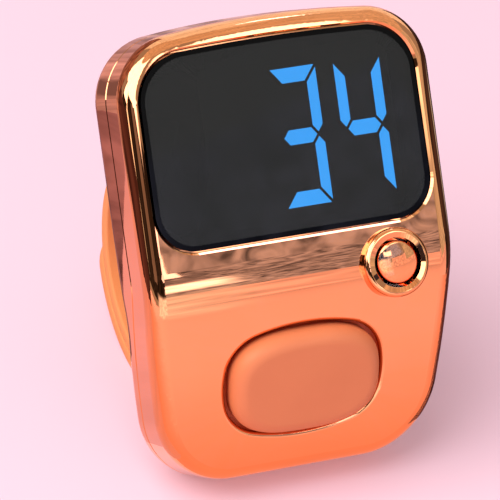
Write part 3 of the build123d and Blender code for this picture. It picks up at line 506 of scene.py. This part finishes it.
# Wrap: bends a flat strap, drawn along Y, into a straight leg and then round the finger's circle.
wrap, wrap_in, wrap_out = new_group(
    "GeometryNodeTree", "band_wrap",
    [("Geometry", GEOMETRY, None), ("Leg", FLOAT, 0.0), ("Radius", FLOAT, 0.01), ("Meet", FLOAT, 0.0),
     ("Turn", FLOAT, 1.0), ("Material", MATERIAL, None)],
    [("Geometry", GEOMETRY)],
)
laid_place = add_node(wrap, "GeometryNodeInputPosition").outputs["Position"]
laid = add_node(wrap, "ShaderNodeSeparateXYZ", Vector=laid_place)
past_leg = calc(wrap, "SUBTRACT", laid.outputs["Y"], wrap_in.outputs["Leg"])
swing = calc(wrap, "DIVIDE", calc(wrap, "MAXIMUM", past_leg), wrap_in.outputs["Radius"])
swing = calc(wrap, "MULTIPLY", swing, wrap_in.outputs["Turn"])
wrap_turn = calc(wrap, "ADD", wrap_in.outputs["Meet"], swing)
back = calc(wrap, "MULTIPLY", calc(wrap, "MINIMUM", past_leg), wrap_in.outputs["Turn"])
wrap_radius = calc(wrap, "ADD", wrap_in.outputs["Radius"], laid.outputs["Z"])
cosine = calc(wrap, "COSINE", wrap_turn)
sine = calc(wrap, "SINE", wrap_turn)
round_y = calc(wrap, "MULTIPLY", cosine, wrap_radius)
round_y = calc(wrap, "SUBTRACT", round_y, calc(wrap, "MULTIPLY", sine, back))
round_z = calc(wrap, "MULTIPLY", sine, wrap_radius)
round_z = calc(wrap, "ADD", round_z, calc(wrap, "MULTIPLY", cosine, back))
wrapped = add_node(wrap, "ShaderNodeCombineXYZ", X=laid.outputs["X"], Y=round_y, Z=round_z)
moved = add_node(wrap, "GeometryNodeSetPosition", Geometry=wrap_in.outputs["Geometry"],
                 Position=wrapped.outputs["Vector"])
end_tree(wrap, wrap_in, wrap_out, moved.outputs["Geometry"])

# Peg row: copies of one peg that stand outwards round the finger's circle.
pegs, pegs_in, pegs_out = new_group(
    "GeometryNodeTree", "peg_row",
    [("Geometry", GEOMETRY, None), ("Count", "NodeSocketInt", 1), ("Radius", FLOAT, 0.01),
     ("First", FLOAT, 0.0), ("Step", FLOAT, 0.1), ("Material", MATERIAL, None)],
    [("Geometry", GEOMETRY)],
)
peg_index = add_node(pegs, "GeometryNodeInputIndex").outputs["Index"]
peg_swing = calc(pegs, "MULTIPLY", peg_index, pegs_in.outputs["Step"])
peg_turn = calc(pegs, "ADD", pegs_in.outputs["First"], peg_swing)
peg_spoke = add_node(pegs, "ShaderNodeCombineXYZ", X=0.0, Y=calc(pegs, "COSINE", peg_turn),
                     Z=calc(pegs, "SINE", peg_turn)).outputs["Vector"]
seat = add_node(pegs, "ShaderNodeVectorMath", {"operation": "SCALE"}, i0=peg_spoke,
                Scale=pegs_in.outputs["Radius"]).outputs["Vector"]
points = add_node(pegs, "GeometryNodePoints", Count=pegs_in.outputs["Count"], Position=seat)
stand = add_node(pegs, "FunctionNodeAlignRotationToVector", {"axis": "Z"}, Vector=seat)
copies = add_node(pegs, "GeometryNodeInstanceOnPoints", Points=points.outputs[0],
                  Instance=pegs_in.outputs["Geometry"], Rotation=stand.outputs["Rotation"])
end_tree(pegs, pegs_in, pegs_out, copies.outputs["Instances"])


def strap_course(anchor, radius, tip_turn, below):
    """Length of a strap's straight leg, where it meets the circle, its sense and its sweep."""
    away = Vector((anchor[0] - loop_y, anchor[1] - loop_z))
    sense = 1 if below else -1
    meet = atan2(away.y, away.x) + sense * acos(radius / away.length)
    leg = sqrt(away.length**2 - radius**2) + shell_wall
    return leg, meet, sense, sense * (tip_turn - meet) % (2 * pi)


def flat_strap(name, length, leg, hole_places):
    """A strap laid flat along Y from its anchored end, with a round tip, holes and rounded edges."""
    drawing = bpy.data.curves.new(name, "CURVE")
    drawing.dimensions = "2D"
    drawing.fill_mode = "BOTH"
    drawing.bevel_depth = band_edge_radius / mm
    drawing.bevel_resolution = band_edge_steps
    drawing.extrude = (band_thickness / 2 - band_edge_radius) / mm
    half = band_width / 2 - band_edge_radius
    corner = tip_radius - band_edge_radius
    tip = length - band_edge_radius
    outline = [Vector((-half, 0)), Vector((half, 0))]
    for side, start in ((1, 0), (-1, pi / 2)):
        middle = Vector((side * (half - corner), tip - corner))
        for step in range(turned_segments // 4 + 1):
            turn = start + 2 * pi * step / turned_segments
            outline.append(middle + Vector((cos(turn), sin(turn))) * corner)
    rings = [outline]
    for hole in hole_places:
        middle = Vector((0, hole))
        radius = peg_radius + peg_hole_gap + band_edge_radius
        turns = [-2 * pi * step / turned_segments for step in range(turned_segments)]
        rings.append([middle + Vector((cos(turn), sin(turn))) * radius for turn in turns])
    for ring in rings:
        spline = drawing.splines.new("POLY")
        spline.points.add(len(ring) - 1)
        spline.use_cyclic_u = True
        for point, place in zip(spline.points, ring):
            point.co = (place.x / mm, place.y / mm, 0, 1)
    sketch = bpy.data.objects.new(name, drawing)
    scene.collection.objects.link(sketch)
    seen = sketch.evaluated_get(bpy.context.evaluated_depsgraph_get())
    mesh = bpy.data.meshes.new_from_object(seen)
    bpy.data.objects.remove(sketch)
    shape = bmesh.new()
    shape.from_mesh(mesh)
    bmesh.ops.remove_doubles(shape, verts=shape.verts, dist=band_edge_radius * merge_share / mm)
    shape.transform(Matrix.Scale(mm, 4))
    for cut in range(ceil((length - leg) / wrap_step)):
        level = Vector((0, leg + cut * wrap_step, 0))
        everything = shape.verts[:] + shape.edges[:] + shape.faces[:]
        bmesh.ops.bisect_plane(shape, geom=everything, plane_co=level, plane_no=(0, 1, 0))
    return shape


def anchor_block(place, along, outwards):
    """The bar that holds a strap inside the case, with round edges."""
    shape = bmesh.new()
    bmesh.ops.create_cube(shape, size=1)
    axes = Matrix((right * band_width, along * anchor_bar[0], outwards * anchor_bar[1])).transposed()
    shape.transform(Matrix.Translation(place) @ axes.to_4x4())
    bmesh.ops.bevel(shape, geom=shape.edges, offset=anchor_edge_radius, segments=band_edge_steps,
                    affect="EDGES")
    bmesh.ops.recalc_face_normals(shape, faces=shape.faces)
    return shape


def join(name, material, *shapes):
    """One piece from several shapes of the shared frame."""
    whole = bmesh.new()
    for shape in shapes:
        part = bpy.data.meshes.new(name)
        shape.to_mesh(part)
        shape.free()
        whole.from_mesh(part)
        bpy.data.meshes.remove(part)
    return new_piece(name, whole, material)


silicone, _ = finish(
    "band_silicone", light=(0.85, 0.315, 0.105), dark=(0.79, 0.275, 0.088), smooth=0.45, rough=0.6,
    patch=5 * mm, grain=0.12 * mm, height=0.004 * mm,
)


def wrapped_strap(name, anchor, radius, tip_turn, below, hole_turns):
    """A strap bent round the finger, as a shape in the shared frame."""
    leg, meet, sense, sweep = strap_course(anchor, radius, tip_turn, below)
    holes = [leg + radius * (sense * (turn - meet) % (2 * pi)) for turn in hole_turns]
    blank = new_piece(name, flat_strap(name, leg + radius * sweep, leg, holes), silicone)
    run_tree(blank, wrap, {"Leg": leg, "Radius": radius, "Meet": meet, "Turn": float(sense),
                           "Material": silicone})
    shape = bmesh.new()
    shape.from_mesh(blank.data)
    bpy.data.objects.remove(blank)
    shape.transform(loop_axes)
    bmesh.ops.recalc_face_normals(shape, faces=shape.faces)
    return shape


peg_length = outer_radius + band_thickness / 2 + layer_gap - inner_radius
peg_profile = [(0, 0), (peg_radius, 0), (peg_radius, peg_length), (peg_head_radius, peg_length)]
for step in range(edge_steps + 1):
    turn = pi / 2 * step / edge_steps
    peg_profile.append((peg_head_radius - peg_head_edge * (1 - cos(turn)),
                        peg_length + peg_head_height - peg_head_edge * (1 - sin(turn))))
peg_profile.append((0, peg_length + peg_head_height))
peg_rings = []
for radius, level in peg_profile:
    turns = [2 * pi * step / turned_segments for step in range(turned_segments if radius else 1)]
    peg_rings.append([Vector((radius * cos(turn), radius * sin(turn), level)) for turn in turns])
peg_blank = new_piece("pegs", skin(peg_rings), silicone)
run_tree(peg_blank, pegs, {"Count": peg_count, "Radius": inner_radius, "First": first_peg_turn,
                           "Step": peg_turn_step, "Material": silicone})
peg_shape = bmesh.new()
peg_shape.from_mesh(peg_blank.data)
bpy.data.objects.remove(peg_blank)
peg_shape.transform(loop_axes)

upper_shape = wrapped_strap("upper_blank", upper_anchor, inner_radius, inner_tip_turn, False, [])
upper_bar_high = extent("upper_strap", normal)[1]
upper_bar_top = extent("upper_strap", upward)[1]
upper_bar_place = upward * (upper_bar_top - anchor_bar[0] / 2) + normal * (upper_bar_high - anchor_bar[1] / 2)
upper_bar = anchor_block(upper_bar_place, upward, normal)
upper_band = join("upper_band", silicone, upper_shape, upper_bar, peg_shape)
stand_for(upper_band, "upper_strap", "case")

hole_turns = [first_peg_turn + step * peg_turn_step for step in range(hole_count)]
lower_shape = wrapped_strap("lower_blank", lower_anchor, outer_radius, outer_tip_turn, True, hole_turns)
lower_bar_top = extent("lower_strap", slope_normal)[1]
lower_bar_place = slope_normal * (lower_bar_top - anchor_bar[1] / 2)
lower_root = origin + upward * lower_anchor[0] + normal * lower_anchor[1]
lower_bar_place += slope_up * lower_root.dot(slope_up)
lower_bar = anchor_block(lower_bar_place, slope_up, slope_normal)
lower_band = join("lower_band", silicone, lower_shape, lower_bar)
stand_for(lower_band, "lower_strap", "case")

# Table: a wide flat board in pale matt pink, on which the counter stands. A faint glow of its own
# keeps the shadow pale.
floor_half = 3.0
floor_corners = [(-floor_half, -floor_half, 0), (floor_half, -floor_half, 0), (floor_half, floor_half, 0),
                 (-floor_half, floor_half, 0)]
floor_mesh = bpy.data.meshes.new("floor")
floor_mesh.from_pydata(floor_corners, [], [(0, 1, 2, 3)])
floor = bpy.data.objects.new("floor", floor_mesh)
scene.collection.objects.link(floor)
floor_finish, floor_shader = finish(
    "pale_table", light=(0.80, 0.525, 0.615), dark=(0.77, 0.495, 0.585), smooth=0.5, rough=0.6,
    patch=80 * mm, grain=1 * mm, height=0.0001 * mm,
)
floor_shader.inputs["Specular IOR Level"].default_value = 0.0
floor_shader.inputs["Emission Color"].default_value = (1, 0.75, 0.85, 1)
floor_shader.inputs["Emission Strength"].default_value = 0.18
floor_mesh.materials.append(floor_finish)

# Light: a large soft lamp above and to the left, a weaker one in front and an even pale surround. The
# lamps stay out of reflections, because the plated faces would show them as squares.
world = bpy.data.worlds.new("studio")
world.use_nodes = True
surround = world.node_tree.nodes["Background"]
surround.inputs["Color"].default_value = (1.0, 0.95, 0.94, 1)
surround.inputs["Strength"].default_value = 0.39
scene.world = world
lamp_reach = 0.5
lamp_size = 0.5


def soft_light(name, direction, power):
    """A square soft light that faces the object from a direction."""
    data = bpy.data.lights.new(name, "AREA")
    data.shape = "SQUARE"
    data.size = lamp_size
    data.energy = power
    lamp = bpy.data.objects.new(name, data)
    away = Vector(direction).normalized()
    place = origin + away * lamp_reach
    lamp.matrix_world = Matrix.LocRotScale(place, away.to_track_quat("Z", "Y"), None)
    lamp.visible_glossy = False
    scene.collection.objects.link(lamp)


soft_light("key_light", direction=(-0.58, -0.05, 0.8), power=3.3)
soft_light("fill_light", direction=(-0.2, -0.8, 0.55), power=0.45)

# Mirrored room: glowing sheets round the object that only reflections show, because its plated faces
# mirror what stands there. Angles are degrees from the middle of the window's lower edge.
sheet_steps = 12
fold_spread = (0.35, 0.65)
mat_rise = 0.2 * mm
cream = (1, 1, 1.2)
tight_fold = 4 * mm
small_fold = 12 * mm
side_fold = 15 * mm
wide_fold = 60 * mm


def heading(azimuth, elevation):
    """A direction from its degrees right of straight ahead and above level."""
    level = cos(radians(elevation))
    return Vector((sin(radians(azimuth)) * level, -cos(radians(azimuth)) * level, sin(radians(elevation))))


def mirrored(name, shape, strength, tint=(1, 1, 1), fold=40 * mm, contrast=0.3, soft=0.0):
    """A glowing shape that only reflections show, lighter and darker in folds, with hard or soft edges."""
    material = bpy.data.materials.new(name)
    material.use_nodes = True
    tree = material.node_tree
    tree.nodes.remove(tree.nodes["Principled BSDF"])
    coords = add_node(tree, "ShaderNodeTexCoord")
    folds = add_node(tree, "ShaderNodeTexNoise", Vector=coords.outputs["Object"], Scale=1 / fold, Detail=5.0,
                     Distortion=2.0)
    glow = add_node(tree, "ShaderNodeMapRange", Value=folds.outputs["Fac"], From_Min=fold_spread[0],
                    From_Max=fold_spread[1], To_Min=strength * (1 - contrast),
                    To_Max=strength * (1 + contrast))
    surface = add_node(tree, "ShaderNodeEmission", Color=(*tint, 1), Strength=glow.outputs["Result"])
    if soft:
        edge = add_node(tree, "ShaderNodeAttribute", {"attribute_name": "edge"})
        cover = add_node(tree, "ShaderNodeMapRange", {"interpolation_type": "SMOOTHSTEP"},
                         Value=edge.outputs["Fac"], From_Max=soft)
        clear = add_node(tree, "ShaderNodeBsdfTransparent")
        surface = add_node(tree, "ShaderNodeMixShader", i0=cover.outputs["Result"],
                           i1=clear.outputs[0], i2=surface.outputs[0])
    tree.links.new(surface.outputs[0], tree.nodes["Material Output"].inputs["Surface"])
    piece = new_piece(name, shape, material)
    for ray in ("visible_camera", "visible_shadow", "visible_diffuse", "visible_transmission"):
        setattr(piece, ray, False)


def dome(azimuths, elevations, reach):
    """Part of a dome round the object, between two azimuths and two elevations. Keeps how far in it is."""
    shape = bmesh.new()
    edge = shape.verts.layers.float.new("edge")
    rows = []
    for rise in range(sheet_steps + 1):
        elevation = elevations[0] + (elevations[1] - elevations[0]) * rise / sheet_steps
        rows.append([])
        for turn in range(sheet_steps + 1):
            azimuth = azimuths[0] + (azimuths[1] - azimuths[0]) * turn / sheet_steps
            vertex = shape.verts.new(origin + heading(azimuth, elevation) * reach)
            vertex[edge] = 2 * min(rise, sheet_steps - rise, turn, sheet_steps - turn) / sheet_steps
            rows[-1].append(vertex)
    for low, high in zip(rows, rows[1:]):
        for turn in range(sheet_steps):
            shape.faces.new((low[turn], low[turn + 1], high[turn + 1], high[turn]))
    return shape


def mat(*corners, inwards=None):
    """A flat shape on the table, from its corners in millimetres and how far in each of them is."""
    shape = bmesh.new()
    edge = shape.verts.layers.float.new("edge")
    ring = []
    for (x, y), share in zip(corners, inwards or [1] * len(corners)):
        vertex = shape.verts.new((x * mm, y * mm, mat_rise))
        vertex[edge] = share
        ring.append(vertex)
    shape.faces.new(ring)
    return shape


# Above and behind
mirrored("ceiling", dome((-180, 180), (64, 90), reach=0.50), strength=0.75, tint=(1, 0.8, 0.65))
mirrored("softbox", dome((8, 47), (36, 60), reach=0.45), strength=3.6, tint=cream, contrast=0.1, soft=0.45)
mirrored("right_ceiling", dome((44, 140), (38, 66), reach=0.49), strength=0.75, tint=(1, 0.85, 0.75))
mirrored("corner_box", dome((-122, -8), (35, 71), reach=0.28), strength=3.6, tint=cream, contrast=0.1,
         soft=0.1)
mirrored("corner_tail", dome((-97, -72), (20, 36), reach=0.275), strength=3.6, tint=cream, contrast=0.1,
         soft=0.1)
mirrored("back_wall", dome((105, 200), (0, 64), reach=0.50), strength=1.0)
mirrored("back_window", dome((141, 150), (48.5, 53), reach=0.45), strength=5.0, tint=(1, 1, 1.5),
         contrast=0.1, soft=0.2)
mirrored("grey_wall", dome((-206, -120), (-22, -1), reach=0.060), strength=0.55, tint=(1, 0.6, 0.62),
         fold=side_fold, contrast=0.6)
mirrored("brown_wall", dome((-176, -120), (-1, 40), reach=0.060), strength=0.3, tint=(1, 0.5, 0.45),
         fold=side_fold, contrast=0.6)

# From the left round to the front
mirrored("dark_front", dome((-100, 14), (4, 37), reach=0.30), strength=0.03, tint=(1, 0.8, 0.75),
         fold=wide_fold, contrast=0.6)
mirrored("grey_streak", dome((-46, -28), (20, 34), reach=0.29), strength=0.22, tint=(1, 0.85, 0.9))
mirrored("left_strip", dome((-74, -68), (9, 40), reach=0.27), strength=2.0, tint=(0.9, 0.95, 1), soft=0.4)
mirrored("crumpled_sheet", dome((10, 36), (9, 38), reach=0.11), strength=0.38, tint=(1, 0.98, 1.4),
         fold=tight_fold, contrast=0.7)
mirrored("lip_card", dome((0, 15.8), (26, 52), reach=0.10), strength=2.6, tint=(1, 1, 1.4))
mirrored("cream_strip", dome((4, 19), (12, 21), reach=0.095), strength=2.6, tint=(1, 1, 1.3),
         fold=small_fold, soft=0.4)
mirrored("cream_haze", dome((-40, 21), (-13, 12), reach=0.10), strength=1.3, tint=cream, fold=small_fold,
         soft=0.45)
mirrored("table_haze", dome((5, 70), (-4, 12), reach=0.40), strength=1.0, tint=(1, 0.68, 0.8), soft=0.2)

# On the right, and a dark card close on the left
mirrored("right_wall", dome((36, 72), (2, 39), reach=0.30), strength=0.65)
# Painted shade: a dark sheet on the right, seen only in reflections, for the shaded table on the object's right.
mirrored("right_shade_card", dome((71, 140), (-22, 20), reach=0.055), strength=0.05, tint=(1, 0.7, 0.7),
         contrast=0.8)
mirrored("right_strip", dome((103, 113), (-22, 4), reach=0.050), strength=0.6, tint=(0.8, 0.95, 1), soft=0.5)
mirrored("left_flag", dome((-125, -76), (-16, 16), reach=0.055), strength=0.1, tint=(1, 0.45, 0.5),
         contrast=0.6)

# On the table, seen only in reflections: painted shadow behind the object on the left, a salmon patch of table,
# painted shadow on the right, and painted shade in front of the toe.
mirrored("left_shadow_sheet", mat((-19.3, 5), (13, 5), (13, 60), (-41.2, 60)), strength=0.3, tint=(1, 0.5, 0.6),
         fold=side_fold, contrast=0.6)
mirrored("salmon_mat", mat((-90, -20), (-13, -20), (-13, 5), (-19.3, 5), (-41.2, 60), (-90, 60)),
         strength=0.95, tint=(1, 0.53, 0.62), contrast=0.1)
# Painted shadow: the object's shadow on the table to its right, seen only in reflections.
mirrored("right_shadow_sheet", mat((15.5, -20), (60, -20), (60, 40), (15.5, 40)), strength=0.1, tint=(1, 0.4, 0.5),
         fold=side_fold, contrast=0.6)
# Painted shade: the darker table in front of the toe, seen only in reflections, fading out away from the object.
mirrored("toe_shade_sheet", mat((-150, -14), (60, -14), (60, -80), (-150, -80), inwards=(1, 1, 0, 0)),
         strength=1.05, tint=(1, 0.44, 0.37), contrast=0.05, soft=1.0)
